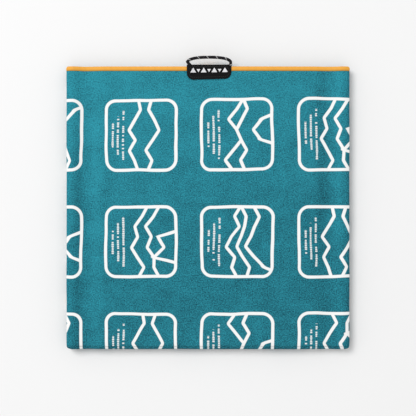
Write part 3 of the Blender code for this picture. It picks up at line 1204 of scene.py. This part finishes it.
def smooth_route(points, spacing):
    """Close, even points on a smooth curve through a route's own points."""
    dense = []
    padded = [points[0] * 2 - points[1]] + points + [points[-1] * 2 - points[-2]]
    for a, b, c, d in zip(padded, padded[1:], padded[2:], padded[3:]):
        for step in range(12):
            t = step / 12
            square = 2 * a - 5 * b + 4 * c - d
            cube = 3 * b - a - 3 * c + d
            dense.append(0.5 * (2 * b + (c - a) * t + square * t * t + cube * t**3))
    dense.append(points[-1])
    return [points[0]] + [spot for spot, _ in walk(dense, spacing)] + [points[-1]]


def make_cord(scene):
    """Braided cord loop, its two ends pressed flat under the label."""
    route = smooth_route(loop_route(), 0.4 * MM)
    travelled = [0.0]
    for a, b in zip(route, route[1:]):
        travelled.append(travelled[-1] + (b - a).length)
    upright = Vector((0, 0, 1))

    def place(angle, row):
        ahead = route[min(row + 1, len(route) - 1)]
        behind = route[max(row - 1, 0)]
        heading = (ahead - behind).normalized()
        side = heading.cross(upright).normalized()
        above = side.cross(heading)
        along = travelled[row] / MM
        strands = angle * BRAID_STRANDS
        braid = max(math.sin(along * BRAID_PACE + strands), math.sin(along * BRAID_PACE - strands))
        radius = CORD_DIAMETER / 2 - 0.04 * MM + 0.12 * MM * braid
        # the ends are pressed flat where the label is sewn over them
        reach = min(travelled[row], travelled[-1] - travelled[row])
        press = 1 - step_up(reach, 8.5 * MM, 0.9 * MM)
        wide = radius * (1 + 0.10 * press) * math.sin(angle)
        high = radius * (1 - 0.45 * press) * math.cos(angle)
        return route[row] + side * wide + above * high

    piece = surface(
        "loop_cord",
        steps(0.0, 2 * math.pi, 2 * math.pi / 48),
        range(len(route)),
        place,
        lambda angle, row: (travelled[row], angle / (2 * math.pi)),
        closed=True,
    )
    piece.data.materials.append(kept_material("braided_cord", cord_material, scene.towel_trim))
    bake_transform(piece)
    finish_piece(piece, None, "cord", "hang_loop", "cord_end_left", "cord_end_right")
    tuple(route[0])
    [tuple(point) for point in route[::4] + route[-1:]]


# ---------------------------------------------------------------- operators

LAMP_PLACE = Vector((-2.08, 2.08, 4.40))  # from the middle of the packet, in metres
LAMP_SIZE = 2.6  # across, in metres: wide enough for soft shadows

class TOWEL_OT_stage(bpy.types.Operator):
    """Lay the floor, hang the lights and place the camera over the packet"""

    bl_idname = "towel.stage"
    bl_label = "Stage"

    def execute(self, context):
        stage = context.scene.towel_stage
        work = bmesh.new()
        bmesh.ops.create_grid(work, x_segments=1, y_segments=1, size=6.0)
        floor = new_piece("floor", work)
        floor.data.materials.append(kept_material("studio_floor", floor_material, stage))
        floor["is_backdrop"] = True

        centre = Vector((0.0, (HEM_LINE + FOLD_LINE) / 2, 0.0))
        key = bpy.data.lights.new("key", "AREA")
        key.energy = stage.key
        key.shape = "DISK"
        key.size = LAMP_SIZE
        lamp = bpy.data.objects.new("key", key)
        lamp.location = centre + LAMP_PLACE
        lamp.rotation_euler = (-LAMP_PLACE).to_track_quat("-Z", "Y").to_euler()
        context.scene.collection.objects.link(lamp)

        world = bpy.data.worlds.new("studio")
        world.use_nodes = True
        sky = world.node_tree.nodes["Background"]
        sky.inputs["Color"].default_value = (1.0, 1.0, 1.0, 1.0)
        sky.inputs["Strength"].default_value = stage.fill
        context.scene.world = world

        lens = bpy.data.cameras.new("camera")
        lens.lens = stage.lens
        lens.sensor_width = 36.0
        camera = bpy.data.objects.new("camera", lens)
        distance = stage.view * stage.lens / lens.sensor_width
        camera.location = centre + Vector((0.0, 0.0, STACK_TOP + distance))
        context.scene.collection.objects.link(camera)
        context.scene.camera = camera
        context.scene.view_settings.view_transform = "Standard"
        return {"FINISHED"}


class TOWEL_OT_cord(bpy.types.Operator):
    """Make the braided hang loop"""

    bl_idname = "towel.cord"
    bl_label = "Hang loop"

    def execute(self, context):
        make_cord(context.scene)
        return {"FINISHED"}


class TOWEL_OT_label(bpy.types.Operator):
    """Make the woven label, its seam and its motif"""

    bl_idname = "towel.label"
    bl_label = "Label"

    def execute(self, context):
        make_label(context.scene)
        make_label_seam(context.scene)
        make_label_motif(context.scene)
        return {"FINISHED"}


class TOWEL_OT_turns(bpy.types.Operator):
    """Make the bends of cloth between the leaves, with the hems that go round them"""

    bl_idname = "towel.turns"
    bl_label = "Fold turns"

    def execute(self, context):
        for fold in range(1, LEAF_COUNT):
            make_turn(fold, context.scene)
            for word, sign in (("left", -1), ("right", 1)):
                turn_hem(f"overlock_turn_{word}_{fold}", fold, sign, context.scene)
        return {"FINISHED"}


class TOWEL_OT_hems(bpy.types.Operator):
    """Make the overlocked hems of the short and long edges"""

    bl_idname = "towel.hems"
    bl_label = "Hems"

    def execute(self, context):
        scene = context.scene
        label_hem = end_hem("overlock_end_label", LEAF_COUNT, HEM_LINE - HEM_WIDTH / 2, 1, scene)
        finish_piece(label_hem, f"leaf_{LEAF_COUNT}", "hem_thread", "end_hem_label")
        far_hem = end_hem("overlock_end_far", 1, FAR_EDGE + HEM_WIDTH / 2, -1, scene)
        finish_piece(far_hem, "leaf_1", "hem_thread", "end_hem_far")
        for leaf in range(1, LEAF_COUNT + 1):
            for word, sign in (("left", -1), ("right", 1)):
                piece = side_hem(f"overlock_{word}_{leaf}", leaf, sign, scene)
                finish_piece(piece, f"leaf_{leaf}", "hem_thread", f"side_hem_{word}_{leaf}")
        return {"FINISHED"}


class TOWEL_OT_leaves(bpy.types.Operator):
    """Make the leaves of folded cloth"""

    bl_idname = "towel.leaves"
    bl_label = "Leaves"

    def execute(self, context):
        found = bpy.data.objects
        for leaf in range(1, LEAF_COUNT + 1):
            piece = make_leaf(leaf, context.scene)
            low, high = cloth_ends(leaf)
            trims = [found[f"overlock_left_{leaf}"], found[f"overlock_right_{leaf}"]]
            if leaf < LEAF_COUNT:
                names = ("cloth_turn_{}", "overlock_turn_left_{}", "overlock_turn_right_{}")
                trims += [found[name.format(leaf)] for name in names]
            if leaf == 1:
                trims.append(found["overlock_end_far"])
            if leaf == LEAF_COUNT:
                trims.append(found["overlock_end_label"])
            flat = (2 * (FLAT_HALF - HEM_WIDTH), high - low)
        return {"FINISHED"}


OPERATORS = (
    TOWEL_OT_stage,
    TOWEL_OT_cord,
    TOWEL_OT_label,
    TOWEL_OT_turns,
    TOWEL_OT_hems,
    TOWEL_OT_leaves,
)
SETTINGS = (
    ("towel_cloth", TowelCloth),
    ("towel_print", TowelPrint),
    ("towel_trim", TowelTrim),
    ("towel_stage", TowelStage),
)


class VIEW3D_PT_towel(bpy.types.Panel):
    """Lists the towel's settings and the steps that make it"""

    bl_label = "Towel"
    bl_category = "Towel"
    bl_space_type = "VIEW_3D"
    bl_region_type = "UI"

    def draw(self, context):
        for attribute, group in SETTINGS:
            box = self.layout.box()
            for key in group.__annotations__:
                box.prop(getattr(context.scene, attribute), key)
        for operator in OPERATORS:
            self.layout.operator(operator.bl_idname)


def register():
    """Make the settings, the operators and the panel known."""
    for attribute, group in SETTINGS:
        bpy.utils.register_class(group)
        setattr(bpy.types.Scene, attribute, bpy.props.PointerProperty(type=group))
    for item in (*OPERATORS, VIEW3D_PT_towel):
        bpy.utils.register_class(item)


def unregister():
    """Take them away again."""
    for item in (VIEW3D_PT_towel, *reversed(OPERATORS)):
        bpy.utils.unregister_class(item)
    for attribute, group in reversed(SETTINGS):
        delattr(bpy.types.Scene, attribute)
        bpy.utils.unregister_class(group)


def main():
    """Make the whole scene, then measure how large it came out beside the frame."""
    register()
    bpy.ops.towel.stage()
    bpy.ops.towel.cord()
    bpy.ops.towel.label()
    bpy.ops.towel.turns()
    bpy.ops.towel.hems()
    bpy.ops.towel.leaves()
    boxes = {"cad": CAD_BOX, "visual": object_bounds()}
    boxes = {name: [list(corner) for corner in box] for name, box in boxes.items()}


if __name__ == "__main__":
    main()
